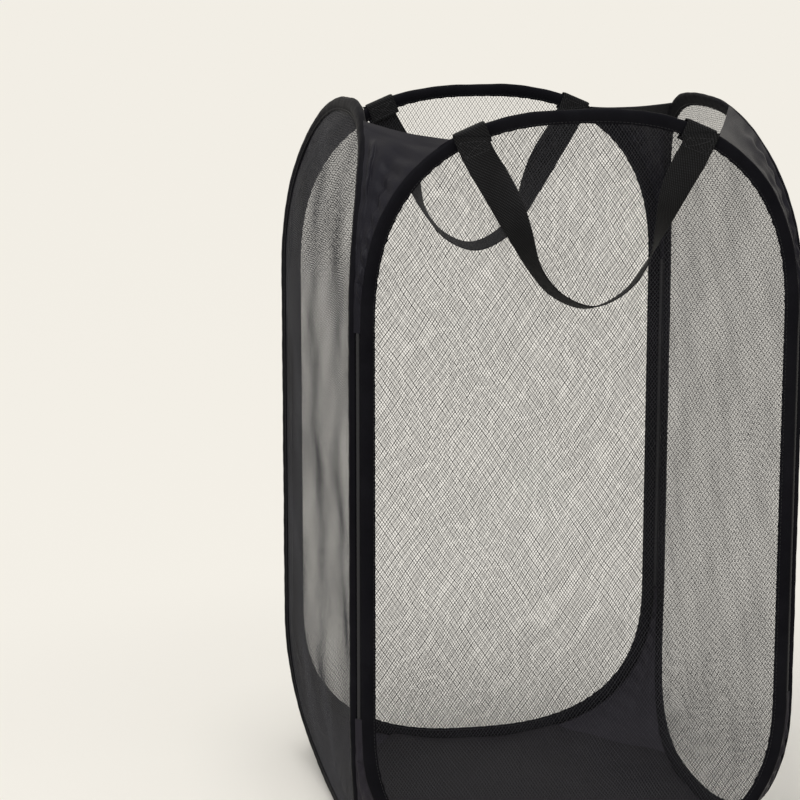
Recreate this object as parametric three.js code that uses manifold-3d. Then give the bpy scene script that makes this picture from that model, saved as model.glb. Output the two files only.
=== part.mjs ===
// A pop up laundry hamper: four netted panels, each held open by a sprung wire hoop in a cloth
// binding, sewn to each other at the corners and to a cloth floor, with a webbing handle on the
// front and the back. Millimetres, +Z up, the front panel faces -Y, the origin is on the floor
// under the middle of the hamper.

import * as THREE from 'three';
import Module from 'manifold-3d';

const wasm = await Module();
wasm.setup();

// Driving dimensions, in millimetres and degrees.

// The hamper, outside the bindings.
const width = 360;
const depth = 360;
const height = 610;

// The outline of every hoop: straight sides between a round top and a round bottom.
const hoop_top_rise = 165;
const hoop_bottom_rise = 144;
const top_outline_power = 2.46;
const bottom_outline_power = 2.56;
const arc_steps = 9;
const normal_step_share = 0.25;

// The side panels lean in above and below their seams, as the photograph shows.
const side_top_lean = 29;
const side_bottom_lean = 22;
const lean_power = 2.2;

// The cloth binding, a folded strip that holds the wire and grips the edge of the net.
const binding_width = 11;
const binding_thickness = 6;
const binding_chamfer = 1.5;
const channel_width = 2.2;
const channel_floor = 1.6;

// The flat spring wire in the binding, and the splice that joins its two ends.
const wire_width = 4;
const wire_thickness = 1.6;
const splice_length = 22;
const splice_width = 4.6;

// The net, with diamond gaps.
const net_thickness = 1.2;
const net_edge_inset = 6.6;
const net_gaps_across = 5;
const net_gap_aspect = 1.4;
const net_strand = 3.2;
const net_hem = 4;
const smallest_gap_share = 0.2;

// The corner seams, which are also the lines that the panels fold about.
const seam_face_gap = 0.8;
const seam_edge_gap = 0.8;
const seam_sides = 8;

// Clearances between sewn pieces.
const sewn_gap = 0.3;
const wrap_gap = 0.5;

// The cloth gussets that close the corners above and below the seams.
const cloth_thickness = 1;
const gusset_rows = 8;
const gusset_columns = 4;
const top_gusset_sag = 3;
const bottom_gusset_sag = 6;
const gusset_slack_power = 2;
const handled_hem_share = 0.61;
const plain_hem_share = 0.5;
const bottom_crease_share = 0.46;

// The cloth floor.
const floor_flat_share = 0.72;
const floor_edge_steps = 8;
const floor_edge_share = 0.44;

// The webbing handles, on the front and the back.
const strap_width = 25;
const strap_thickness = 1.2;
const handle_half_span = 90;
const handle_drop = 128;
const handle_steps = 58;
const handle_columns = 2;
const tab_inside_length = 15;
const tab_outside_length = 14;
// The line of half a handle: across as a share of the half span, down as a share of the drop.
const handle_line_shares = [
  [1, 0],
  [0.92, 0.12],
  [0.74, 0.34],
  [0.61, 0.55],
  [0.49, 0.75],
  [0.29, 0.92],
  [0, 1],
];
// The twist at the middle of a handle as a share of a quarter turn, and where along it runs in.
const twist_share = 0.87;
const twist_start_share = 0.12;
const twist_end_share = 0.72;

// The bare care label, sewn in at the bottom of the front panel.
const label_width = 9;
const label_length = 24;
const label_thickness = 0.4;
const label_from_middle = 68;
const label_seam = 1.5;

// Sizes that follow from those above.
const corner_inset = binding_thickness + seam_face_gap;
const front_half = width / 2 - corner_inset - seam_edge_gap;
const side_half = depth / 2 - corner_inset - seam_edge_gap;
const seam_top = height - hoop_top_rise;
const seam_bottom = hoop_bottom_rise;
const seam_radius = (seam_face_gap + seam_edge_gap + binding_chamfer) / Math.SQRT2 - sewn_gap;
const band_middle = binding_width / 2;
const net_face = (binding_thickness - net_thickness) / 2;
const wire_face = (binding_thickness - wire_thickness) / 2;
const channel_face = (binding_thickness - channel_width) / 2;
const cloth_face = binding_thickness + sewn_gap + cloth_thickness / 2;
const quarter_turn = Math.PI / 2;

// Materials.

function cloth(name, colour, roughness) {
  return new THREE.MeshStandardMaterial({ name, color: colour, roughness, metalness: 0 });
}

const binding_cloth = cloth('binding cloth', 0x25252a, 0.6);
const net_cloth = cloth('net', 0x1d1d20, 0.7);
const gusset_cloth = cloth('gusset cloth', 0x34343a, 0.65);
const floor_cloth = cloth('floor cloth', 0x2b2b2f, 0.75);
const webbing = cloth('webbing', 0x161618, 0.8);
const label_cloth = cloth('label cloth', 0x2a2a2e, 0.55);
const seam_thread = cloth('seam thread', 0x1c1c1f, 0.7);
const spring_steel = new THREE.MeshStandardMaterial({
  name: 'spring steel',
  color: 0x8c8f94,
  roughness: 0.35,
  metalness: 1,
});
const splice_metal = new THREE.MeshStandardMaterial({
  name: 'splice metal',
  color: 0xa5a8ac,
  roughness: 0.45,
  metalness: 1,
});

// Closed meshes from lists of points and triangles.

function signedVolume(points, triangles) {
  let volume = 0;
  for (const [a, b, c] of triangles) {
    volume += points[a].dot(points[b].clone().cross(points[c]));
  }
  return volume / 6;
}

function closedGeometry(points, triangles) {
  const inside_out = signedVolume(points, triangles) < 0;
  const order = inside_out ? triangles.map(([a, b, c]) => [a, c, b]) : triangles;
  const geometry = new THREE.BufferGeometry();
  geometry.setFromPoints(points);
  geometry.setIndex(order.flat());
  geometry.computeVertexNormals();
  return geometry;
}

// Joins rings of points into a tube. A tube whose ends don't meet is capped, and its rings are convex.
function tube(rings, ends_meet) {
  const sides = rings[0].length;
  const points = rings.flat();
  const triangles = [];
  const spans = ends_meet ? rings.length : rings.length - 1;
  for (let i = 0; i < spans; i += 1) {
    const here = i * sides;
    const next = ((i + 1) % rings.length) * sides;
    for (let j = 0; j < sides; j += 1) {
      const k = (j + 1) % sides;
      triangles.push([here + j, next + j, next + k], [here + j, next + k, here + k]);
    }
  }
  if (!ends_meet) {
    const last = (rings.length - 1) * sides;
    for (let j = 1; j < sides - 1; j += 1) {
      triangles.push([0, j, j + 1], [last, last + j + 1, last + j]);
    }
  }
  return closedGeometry(points, triangles);
}

// A sheet of cloth: a grid of points, thickened to both sides.
function sheet(grid, thickness) {
  const rows = grid.length;
  const columns = grid[0].length;
  const at = (row, column) => row * columns + column;
  const middle = grid.flat();
  const normals = middle.map(() => new THREE.Vector3());
  const faces = [];
  for (let row = 0; row < rows - 1; row += 1) {
    for (let column = 0; column < columns - 1; column += 1) {
      const corners = [at(row, column), at(row, column + 1), at(row + 1, column + 1), at(row + 1, column)];
      faces.push([corners[0], corners[1], corners[2]], [corners[0], corners[2], corners[3]]);
    }
  }
  for (const [a, b, c] of faces) {
    const normal = new THREE.Triangle(middle[a], middle[b], middle[c]).getNormal(new THREE.Vector3());
    [a, b, c].forEach((corner) => normals[corner].add(normal));
  }
  const side = (sign) => middle.map((point, i) =>
    point.clone().addScaledVector(normals[i].clone().normalize(), (sign * thickness) / 2));
  const points = [...side(1), ...side(-1)];
  const under = middle.length;
  const triangles = [];
  for (const [a, b, c] of faces) {
    triangles.push([a, b, c], [under + a, under + c, under + b]);
  }
  const rim = [];
  for (let column = 0; column < columns - 1; column += 1) {
    rim.push([at(0, column + 1), at(0, column)], [at(rows - 1, column), at(rows - 1, column + 1)]);
  }
  for (let row = 0; row < rows - 1; row += 1) {
    rim.push([at(row, 0), at(row + 1, 0)], [at(row + 1, columns - 1), at(row, columns - 1)]);
  }
  for (const [a, b] of rim) {
    triangles.push([a, b, under + b], [a, under + b, under + a]);
  }
  return closedGeometry(points, triangles);
}

function piece(name, geometry, material) {
  const mesh = new THREE.Mesh(geometry, material);
  mesh.name = name;
  return mesh;
}

// The hoop outline. In a panel x runs along it, y runs inward from its outer face and z is up.
// A quarter of the outline is a superellipse: turn is 0 where it meets the straight side and a
// quarter turn at the middle of the hoop.

function quarterPoint(half_width, at_top, turn) {
  const power = at_top ? top_outline_power : bottom_outline_power;
  const rise = at_top ? hoop_top_rise : hoop_bottom_rise;
  const along = half_width * Math.abs(Math.cos(turn)) ** (2 / power);
  const climb = rise * Math.abs(Math.sin(turn)) ** (2 / power);
  return new THREE.Vector2(along, at_top ? seam_top + climb : seam_bottom - climb);
}

function turnAtShare(share, at_top) {
  const power = at_top ? top_outline_power : bottom_outline_power;
  return Math.acos(share ** (power / 2));
}

// The inward normal of the outline at a point of a quarter, by a small step to each side.
function quarterNormal(half_width, at_top, turn) {
  const step = (quarter_turn / arc_steps) * normal_step_share;
  const before = quarterPoint(half_width, at_top, Math.max(turn - step, 0));
  const after = quarterPoint(half_width, at_top, Math.min(turn + step, quarter_turn));
  const run = after.sub(before).normalize();
  return at_top ? new THREE.Vector2(-run.y, run.x) : new THREE.Vector2(run.y, -run.x);
}

// A point at a distance inward from the outline, on the right (side 1) or the left (side -1).
function insetPoint(half_width, at_top, turn, inset, side) {
  const point = quarterPoint(half_width, at_top, turn);
  point.addScaledVector(quarterNormal(half_width, at_top, turn), inset);
  return new THREE.Vector2(point.x * side, point.y);
}

// The whole outline, from the bottom middle up the right side and down the left.
function hoopOutline(half_width, inset) {
  const right = [];
  for (let i = arc_steps; i >= 0; i -= 1) {
    right.push(insetPoint(half_width, false, (i / arc_steps) * quarter_turn, inset, 1));
  }
  for (let i = 0; i <= arc_steps; i += 1) {
    right.push(insetPoint(half_width, true, (i / arc_steps) * quarter_turn, inset, 1));
  }
  const left = right.slice(1, -1).reverse().map((point) => new THREE.Vector2(-point.x, point.y));
  return [...right, ...left];
}

// How far a panel leans in at a height.
function leanAt(panel, z) {
  if (z > seam_top) {
    return panel.top_lean * ((z - seam_top) / hoop_top_rise) ** lean_power;
  }
  if (z < seam_bottom) {
    return panel.bottom_lean * ((seam_bottom - z) / hoop_bottom_rise) ** lean_power;
  }
  return 0;
}

function leanGeometry(panel, geometry) {
  const position = geometry.getAttribute('position');
  for (let i = 0; i < position.count; i += 1) {
    position.setY(i, position.getY(i) + leanAt(panel, position.getZ(i)));
  }
  geometry.computeVertexNormals();
  return geometry;
}

// Sweeps a section round the hoop. Its points are [inset from the outline, depth from the outer face].
function hoopRings(panel, section) {
  const outlines = section.map(([inset]) => hoopOutline(panel.half_width, inset));
  return outlines[0].map((unused, step) =>
    section.map(([, inward], corner) => {
      const point = outlines[corner][step];
      return new THREE.Vector3(point.x, inward, point.y);
    }));
}

function bindingGeometry(panel) {
  const far = binding_thickness;
  const section = [
    [binding_chamfer, 0],
    [0, binding_chamfer],
    [0, far - binding_chamfer],
    [binding_chamfer, far],
    [binding_width, far],
    [binding_width, far - channel_face],
    [channel_floor, far - channel_face],
    [channel_floor, channel_face],
    [binding_width, channel_face],
    [binding_width, 0],
  ];
  return leanGeometry(panel, tube(hoopRings(panel, section), true));
}

// A flat bar's section in the channel, from its floor inward.
function channelSection(bar_width) {
  const low = channel_floor + sewn_gap;
  return [
    [low, wire_face],
    [low, wire_face + wire_thickness],
    [low + bar_width, wire_face + wire_thickness],
    [low + bar_width, wire_face],
  ];
}

// The ring at a distance along the bottom of the hoop from its middle ring, towards another ring.
function ringToward(rings, other, distance) {
  return rings[0].map((point, corner) =>
    point.clone().lerp(other[corner], distance / Math.abs(other[corner].x)));
}

// The wire runs round the channel from one end of its splice to the other.
function wireGeometry(panel) {
  const rings = hoopRings(panel, channelSection(wire_width));
  const end = splice_length / 2 + sewn_gap;
  const first = ringToward(rings, rings[1], end);
  const last = ringToward(rings, rings[rings.length - 1], end);
  return leanGeometry(panel, tube([first, ...rings.slice(1), last], false));
}

function spliceGeometry(panel) {
  const rings = hoopRings(panel, channelSection(splice_width));
  const right = ringToward(rings, rings[1], splice_length / 2);
  const left = ringToward(rings, rings[rings.length - 1], splice_length / 2);
  return leanGeometry(panel, tube([left, rings[0], right], false));
}

// Keeps the part of a polygon that lies inside a convex outline, which runs anticlockwise.
function clipToConvex(polygon, outline) {
  let kept = polygon;
  outline.forEach((from, i) => {
    const to = outline[(i + 1) % outline.length];
    const run = to.clone().sub(from);
    const reach = (point) => run.cross(point.clone().sub(from));
    const next = [];
    kept.forEach((here, j) => {
      const there = kept[(j + 1) % kept.length];
      const near = reach(here);
      const far = reach(there);
      if (near >= 0) {
        next.push(here);
      }
      if (near * far < 0) {
        next.push(here.clone().lerp(there, near / (near - far)));
      }
    });
    kept = next;
  });
  return kept;
}

// Drops points that lie closer together than a gap's corners need.
function withoutShortEdges(polygon, shortest) {
  return polygon.filter((point, i) =>
    point.distanceTo(polygon[(i + 1) % polygon.length]) > shortest);
}

function netGaps(panel) {
  const inner_half = panel.half_width - binding_width;
  const pitch = (2 * inner_half) / net_gaps_across;
  const rise = pitch * net_gap_aspect;
  const shrink = 1 - (net_strand * Math.hypot(pitch, rise)) / (pitch * rise);
  const outline = hoopOutline(panel.half_width, binding_width + net_hem);
  const whole = (pitch * rise * shrink ** 2) / 2;
  const gaps = [];
  const rows = Math.ceil((2 * height) / rise);
  for (let row = 0; row <= rows; row += 1) {
    const offset = row % 2 ? 0 : pitch / 2;
    for (let column = -net_gaps_across; column <= net_gaps_across; column += 1) {
      const middle = new THREE.Vector2(column * pitch + offset, (row * rise) / 2);
      const diamond = [[1, 0], [0, 1], [-1, 0], [0, -1]].map(([x, z]) =>
        new THREE.Vector2(middle.x + (x * shrink * pitch) / 2, middle.y + (z * shrink * rise) / 2));
      const gap = withoutShortEdges(clipToConvex(diamond, outline), net_strand);
      if (gap.length > 2 && THREE.ShapeUtils.area(gap) > smallest_gap_share * whole) {
        gaps.push(gap);
      }
    }
  }
  return gaps;
}

// A plate that fills the panel as far as an edge inset: a band of quads round its rim, and
// level strips across the rest, so that it follows the lean.
function fullPlate(panel, edge_inset, band_inset, face, thickness) {
  const edge = hoopOutline(panel.half_width, edge_inset);
  const inner = hoopOutline(panel.half_width, band_inset);
  const steps = edge.length;
  const outline_points = [...edge, ...inner];
  const count = outline_points.length;
  const faces = [];
  for (let i = 0; i < steps; i += 1) {
    const j = (i + 1) % steps;
    faces.push([i, j, steps + j], [i, steps + j, steps + i]);
  }
  const mirrored = (i) => steps + ((steps - i) % steps);
  for (let i = 0; i < steps / 2; i += 1) {
    faces.push([mirrored(i), steps + i, steps + i + 1], [mirrored(i), steps + i + 1, mirrored(i + 1)]);
  }
  const real = faces.filter((corners) => new Set(corners).size === corners.length);
  const raised = (inward) => outline_points.map((point) => new THREE.Vector3(point.x, inward, point.y));
  const triangles = [];
  for (const [a, b, c] of real) {
    triangles.push([a, b, c], [count + a, count + c, count + b]);
  }
  for (let i = 0; i < steps; i += 1) {
    const j = (i + 1) % steps;
    triangles.push([j, i, count + i], [j, count + i, count + j]);
  }
  return closedGeometry([...raised(face), ...raised(face + thickness)], triangles);
}

function toManifold(geometry) {
  return new wasm.Manifold(new wasm.Mesh({
    numProp: 3,
    vertProperties: new Float32Array(geometry.getAttribute('position').array),
    triVerts: new Uint32Array(geometry.index.array),
  }));
}

function fromManifold(manifold) {
  const mesh = manifold.getMesh();
  const geometry = new THREE.BufferGeometry();
  geometry.setAttribute('position', new THREE.BufferAttribute(new Float32Array(mesh.vertProperties), 3));
  geometry.setIndex(Array.from(mesh.triVerts));
  geometry.computeVertexNormals();
  return geometry;
}

// A prism that cuts one gap right through a panel, however far the panel leans.
function gapPrism(panel, gap) {
  const through = binding_thickness + Math.max(panel.top_lean, panel.bottom_lean);
  const ring = (inward) => gap.map((point) => new THREE.Vector3(point.x, inward, point.y));
  return tube([ring(-binding_thickness), ring(through)], false);
}

function netGeometry(panel) {
  const band = binding_width + net_hem / 2;
  const full = leanGeometry(panel, fullPlate(panel, net_edge_inset, band, net_face, net_thickness));
  let net = toManifold(full);
  for (const gap of netGaps(panel)) {
    net = net.subtract(toManifold(gapPrism(panel, gap)));
  }
  return fromManifold(net);
}

// Handles. A tab wraps each end over the hoop, and the loop hangs from the outer faces of the tabs.

function tabPlace(panel) {
  const turn = turnAtShare(handle_half_span / panel.half_width, true);
  const point = quarterPoint(panel.half_width, true, turn);
  const normal = quarterNormal(panel.half_width, true, turn);
  return { point, normal };
}

function tabGeometry(panel, side) {
  const { point, normal } = tabPlace(panel);
  const outer = -wrap_gap - strap_thickness;
  const far = binding_thickness + wrap_gap;
  const shape = new THREE.Shape([
    new THREE.Vector2(outer, tab_outside_length),
    new THREE.Vector2(outer, outer),
    new THREE.Vector2(far + strap_thickness, outer),
    new THREE.Vector2(far + strap_thickness, tab_inside_length),
    new THREE.Vector2(far, tab_inside_length),
    new THREE.Vector2(far, -wrap_gap),
    new THREE.Vector2(-wrap_gap, -wrap_gap),
    new THREE.Vector2(-wrap_gap, tab_outside_length),
  ]);
  const geometry = new THREE.ExtrudeGeometry(shape, { depth: strap_width, bevelEnabled: false });
  geometry.translate(0, 0, -strap_width / 2);
  const down = new THREE.Vector3(normal.x * side, 0, normal.y);
  const inward = new THREE.Vector3(0, 1, 0);
  const along = new THREE.Vector3().crossVectors(inward, down);
  geometry.applyMatrix4(new THREE.Matrix4().makeBasis(inward, down, along));
  geometry.translate(point.x * side, 0, point.y);
  return geometry;
}

// The line that a handle swings about, measured from its panel's outer face.
function handleAxis(panel) {
  const { point, normal } = tabPlace(panel);
  const outward = wrap_gap + strap_thickness + sewn_gap + strap_thickness / 2;
  return new THREE.Vector3(0, -outward, point.y + band_middle * normal.y);
}

// Slides a row's points along the strap until the end lies level, so that it clears its tab.
function cutLevel(row, forward, z) {
  for (const point of row) {
    point.addScaledVector(forward, (z - point.z) / forward.z);
  }
}

function handleGeometry(panel) {
  const axis = handleAxis(panel);
  const right = handle_line_shares.map(([across, down]) =>
    new THREE.Vector2(across * handle_half_span, -down * handle_drop));
  const left = right.slice(0, -1).map((point) => new THREE.Vector2(-point.x, point.y));
  const line = new THREE.SplineCurve([...left, ...right.reverse()]);
  const outward = new THREE.Vector3(0, -1, 0);
  const grid = [];
  for (let i = 0; i <= handle_steps; i += 1) {
    const share = i / handle_steps;
    const point = line.getPointAt(share);
    const run = line.getTangentAt(share);
    const from_end = 1 - Math.abs(2 * share - 1);
    const twist = THREE.MathUtils.smoothstep(from_end, twist_start_share, twist_end_share)
      * twist_share * quarter_turn;
    const forward = new THREE.Vector3(run.x, 0, run.y);
    const flat = new THREE.Vector3(-run.y, 0, run.x);
    const wide = flat.multiplyScalar(Math.cos(twist)).addScaledVector(outward, Math.sin(twist));
    const stand_off = (Math.sin(twist) * strap_width) / 2;
    const middle = new THREE.Vector3(point.x, axis.y - stand_off, axis.z + point.y);
    const row = [];
    for (let column = 0; column <= handle_columns; column += 1) {
      const across = column / handle_columns - 1 / 2;
      row.push(middle.clone().addScaledVector(wide, across * strap_width));
    }
    if (i === 0 || i === handle_steps) {
      cutLevel(row, forward, axis.z);
    }
    grid.push(row);
  }
  return sheet(grid, strap_thickness);
}

function labelGeometry(panel) {
  const turn = turnAtShare(label_from_middle / panel.half_width, false);
  const point = insetPoint(panel.half_width, false, turn, binding_width, -1);
  const geometry = new THREE.BoxGeometry(label_width, label_thickness, label_length);
  const face = net_face - sewn_gap - label_thickness / 2;
  geometry.translate(point.x, face, point.y + label_length / 2 + label_seam);
  return geometry;
}

// Panels, in order round the hamper. The right end of each meets the left end of the next.

const panels = [
  { name: 'front', quarter: 0, reach: depth / 2, half_width: front_half, top_lean: 0, bottom_lean: 0 },
  {
    name: 'right',
    quarter: 1,
    reach: width / 2,
    half_width: side_half,
    top_lean: side_top_lean,
    bottom_lean: side_bottom_lean,
  },
  { name: 'back', quarter: 2, reach: depth / 2, half_width: front_half, top_lean: 0, bottom_lean: 0 },
  {
    name: 'left',
    quarter: 3,
    reach: width / 2,
    half_width: side_half,
    top_lean: side_top_lean,
    bottom_lean: side_bottom_lean,
  },
];

function panelGroup(panel) {
  const group = new THREE.Group();
  const inner = new THREE.Group();
  group.rotation.z = panel.quarter * quarter_turn;
  inner.position.y = -panel.reach;
  inner.add(piece(`${panel.name}_hoop_wire`, wireGeometry(panel), spring_steel));
  inner.add(piece(`${panel.name}_wire_splice`, spliceGeometry(panel), splice_metal));
  inner.add(piece(`${panel.name}_binding`, bindingGeometry(panel), binding_cloth));
  inner.add(piece(`${panel.name}_net`, netGeometry(panel), net_cloth));
  if (panel.quarter % 2 === 0) {
    inner.add(piece(`${panel.name}_handle`, handleGeometry(panel), webbing));
    inner.add(piece(`${panel.name}_handle_left_tab`, tabGeometry(panel, -1), webbing));
    inner.add(piece(`${panel.name}_handle_right_tab`, tabGeometry(panel, 1), webbing));
  }
  if (panel.name === 'front') {
    inner.add(piece('care_label', labelGeometry(panel), label_cloth));
  }
  group.add(inner);
  return group;
}

// A panel's own coordinates, turned to where the panel stands.
function fromPanel(panel, along, inward, z) {
  const point = new THREE.Vector3(along, inward + leanAt(panel, z) - panel.reach, z);
  return point.applyAxisAngle(new THREE.Vector3(0, 0, 1), panel.quarter * quarter_turn);
}

function hemShare(panel, at_top) {
  if (!at_top) {
    return bottom_crease_share;
  }
  return panel.quarter % 2 === 0 ? handled_hem_share : plain_hem_share;
}

// The edge of a gusset on one panel's binding, from the hem to the end of the seam.
function gussetEdge(panel, side, at_top) {
  const start = turnAtShare(hemShare(panel, at_top), at_top);
  const points = [];
  for (let row = 0; row <= gusset_rows; row += 1) {
    const turn = start * (1 - row / gusset_rows);
    const point = insetPoint(panel.half_width, at_top, turn, band_middle, side);
    points.push(fromPanel(panel, point.x, cloth_face, point.y));
  }
  return points;
}

function gussetGeometry(panel, next, at_top) {
  const here = gussetEdge(panel, 1, at_top);
  const there = gussetEdge(next, -1, at_top);
  const sag = at_top ? top_gusset_sag : bottom_gusset_sag;
  const grid = here.map((from, row) => {
    const slack = (1 - row / gusset_rows) ** gusset_slack_power;
    const line = [];
    for (let column = 0; column <= gusset_columns; column += 1) {
      const share = column / gusset_columns;
      const point = from.clone().lerp(there[row], share);
      point.z -= Math.sin(Math.PI * share) * slack * sag;
      line.push(point);
    }
    return line;
  });
  return sheet(grid, cloth_thickness);
}

// The floor: flat where it lies on the ground, with its rim climbing to the four bindings.
function floorGeometry() {
  const rim = [];
  for (const panel of panels) {
    for (let step = 0; step <= floor_edge_steps; step += 1) {
      const share = ((2 * step) / floor_edge_steps - 1) * floor_edge_share;
      const turn = turnAtShare(Math.abs(share), false);
      const point = insetPoint(panel.half_width, false, turn, band_middle, Math.sign(share));
      rim.push(fromPanel(panel, point.x, cloth_face, point.y));
    }
  }
  const flat = rim.map((point) =>
    new THREE.Vector3(point.x * floor_flat_share, point.y * floor_flat_share, 0));
  const lift = (list, rise) => list.map((point) => new THREE.Vector3(point.x, point.y, point.z + rise));
  const rim_lift = cloth_thickness / 2;
  const rings = [lift(flat, cloth_thickness), lift(rim, rim_lift), lift(rim, -rim_lift), flat];
  const count = rim.length;
  const top_middle = rings.length * count;
  const under_middle = top_middle + 1;
  const last = top_middle - count;
  const triangles = [];
  for (let i = 0; i < count; i += 1) {
    const j = (i + 1) % count;
    for (let here = 0; here < last; here += count) {
      const next = here + count;
      triangles.push([here + i, here + j, next + j], [here + i, next + j, next + i]);
    }
    triangles.push([top_middle, j, i], [under_middle, last + i, last + j]);
  }
  const middles = [new THREE.Vector3(0, 0, cloth_thickness), new THREE.Vector3(0, 0, 0)];
  return closedGeometry([...rings.flat(), ...middles], triangles);
}

function seamGeometry() {
  const length = seam_top - seam_bottom;
  const geometry = new THREE.CylinderGeometry(seam_radius, seam_radius, length, seam_sides);
  geometry.rotateX(quarter_turn);
  geometry.translate(0, 0, seam_bottom + length / 2);
  return geometry;
}

const hamper = new THREE.Group();
// The corner at the right end of each panel, with the signs of its place.
const corners = [
  { name: 'front_right', across: 1, back: -1 },
  { name: 'rear_right', across: 1, back: 1 },
  { name: 'rear_left', across: -1, back: 1 },
  { name: 'front_left', across: -1, back: -1 },
];

panels.forEach((panel, i) => {
  const next = panels[(i + 1) % panels.length];
  const { name, across, back } = corners[i];
  hamper.add(panelGroup(panel));
  hamper.add(piece(`${name}_top_gusset`, gussetGeometry(panel, next, true), gusset_cloth));
  hamper.add(piece(`${name}_bottom_gusset`, gussetGeometry(panel, next, false), gusset_cloth));
  const seam = piece(`${name}_seam`, seamGeometry(), seam_thread);
  seam.position.set(across * (width / 2 - corner_inset), back * (depth / 2 - corner_inset), 0);
  hamper.add(seam);
});

hamper.add(piece('bottom_panel', floorGeometry(), floor_cloth));

export default hamper;
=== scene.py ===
import math

import bpy
import numpy as np
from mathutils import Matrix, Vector


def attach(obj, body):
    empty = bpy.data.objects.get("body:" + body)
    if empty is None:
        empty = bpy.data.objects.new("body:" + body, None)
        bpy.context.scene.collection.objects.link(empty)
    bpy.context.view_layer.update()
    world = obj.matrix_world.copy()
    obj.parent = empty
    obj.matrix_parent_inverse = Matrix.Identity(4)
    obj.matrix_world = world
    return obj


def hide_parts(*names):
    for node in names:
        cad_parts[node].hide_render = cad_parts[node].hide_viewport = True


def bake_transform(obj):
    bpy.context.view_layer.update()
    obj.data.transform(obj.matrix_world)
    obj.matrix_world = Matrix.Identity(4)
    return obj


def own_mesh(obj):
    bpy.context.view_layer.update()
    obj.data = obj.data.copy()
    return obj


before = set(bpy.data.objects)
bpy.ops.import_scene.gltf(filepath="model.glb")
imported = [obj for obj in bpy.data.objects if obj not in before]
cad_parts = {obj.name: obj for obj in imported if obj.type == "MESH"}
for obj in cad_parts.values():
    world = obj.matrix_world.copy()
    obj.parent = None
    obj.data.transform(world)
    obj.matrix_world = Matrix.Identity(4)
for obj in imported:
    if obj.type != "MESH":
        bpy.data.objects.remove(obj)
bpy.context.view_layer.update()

rng = np.random.default_rng(7)

# Sizes in metres, as in the CAD model.
WIDTH = 0.360
DEPTH = 0.360
HEIGHT = 0.610
TOP_RISE = 0.165
BOTTOM_RISE = 0.144
TOP_POWER = 2.46
BOTTOM_POWER = 2.56
TOP_LEAN = 0.029
BOTTOM_LEAN = 0.022
LEAN_POWER = 2.2
BAND_WIDTH = 0.011
BAND_THICKNESS = 0.006
CORNER_INSET = 0.0068
EDGE_GAP = 0.0008
HALF = WIDTH / 2 - CORNER_INSET - EDGE_GAP
SEAM_TOP = HEIGHT - TOP_RISE
SEAM_BOTTOM = BOTTOM_RISE
MIDDLE = BAND_THICKNESS / 2
BAND_MIDDLE = BAND_WIDTH / 2

MM = 0.001
QUARTER = math.pi / 2
TAU = 2 * math.pi

# Camera, from the photograph: a long lens a little above the rim and to the left.
CAMERA_PLACE = (-0.4879, -1.8997, 0.7233)
CAMERA_YAW = -11.3484
CAMERA_PITCH = -10.6297
FOCAL_PIXELS = 2373.74
PHOTO_PIXELS = 800
SENSOR_MM = 36

camera_data = bpy.data.cameras.new("camera")
camera_data.sensor_width = SENSOR_MM
camera_data.lens = FOCAL_PIXELS / PHOTO_PIXELS * SENSOR_MM
camera = bpy.data.objects.new("camera", camera_data)
camera.location = CAMERA_PLACE
camera.rotation_euler = (math.radians(90 + CAMERA_PITCH), 0, math.radians(CAMERA_YAW))
bpy.context.collection.objects.link(camera)
bpy.context.scene.camera = camera


def smooth_step(value, low, high):
    t = np.clip((value - low) / (high - low), 0, 1)
    return t * t * (3 - 2 * t)


def rise_and_fall(value, start, full, ebb, end):
    """0 up to start, 1 from full to ebb, and 0 again from end."""
    return smooth_step(value, start, full) * smooth_step(-value, -end, -ebb)


def unit(v):
    return v / np.maximum(np.linalg.norm(v, axis=-1, keepdims=True), 1e-12)


def run_length(path):
    """The length along a path at each of its points."""
    return np.concatenate([[0], np.cumsum(np.linalg.norm(np.diff(path, axis=0), axis=-1))])


# Hoops and panels. In a panel x runs along it, y inward from its outer face and z up.

CURVE_STEPS = 700
CURVE_CROWDING = 1.6
STRAIGHT_STEPS = 200
TANGENT_STEP = 0.0015


def quarter_point(at_top, turn):
    power = TOP_POWER if at_top else BOTTOM_POWER
    rise = TOP_RISE if at_top else BOTTOM_RISE
    x = HALF * np.abs(np.cos(turn)) ** (2 / power)
    climb = rise * np.abs(np.sin(turn)) ** (2 / power)
    return x, (SEAM_TOP + climb if at_top else SEAM_BOTTOM - climb)


def turn_at(share, at_top):
    """The turn of a quarter at which a hoop is this share of its half width from its middle."""
    return math.acos(share ** ((TOP_POWER if at_top else BOTTOM_POWER) / 2))


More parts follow.
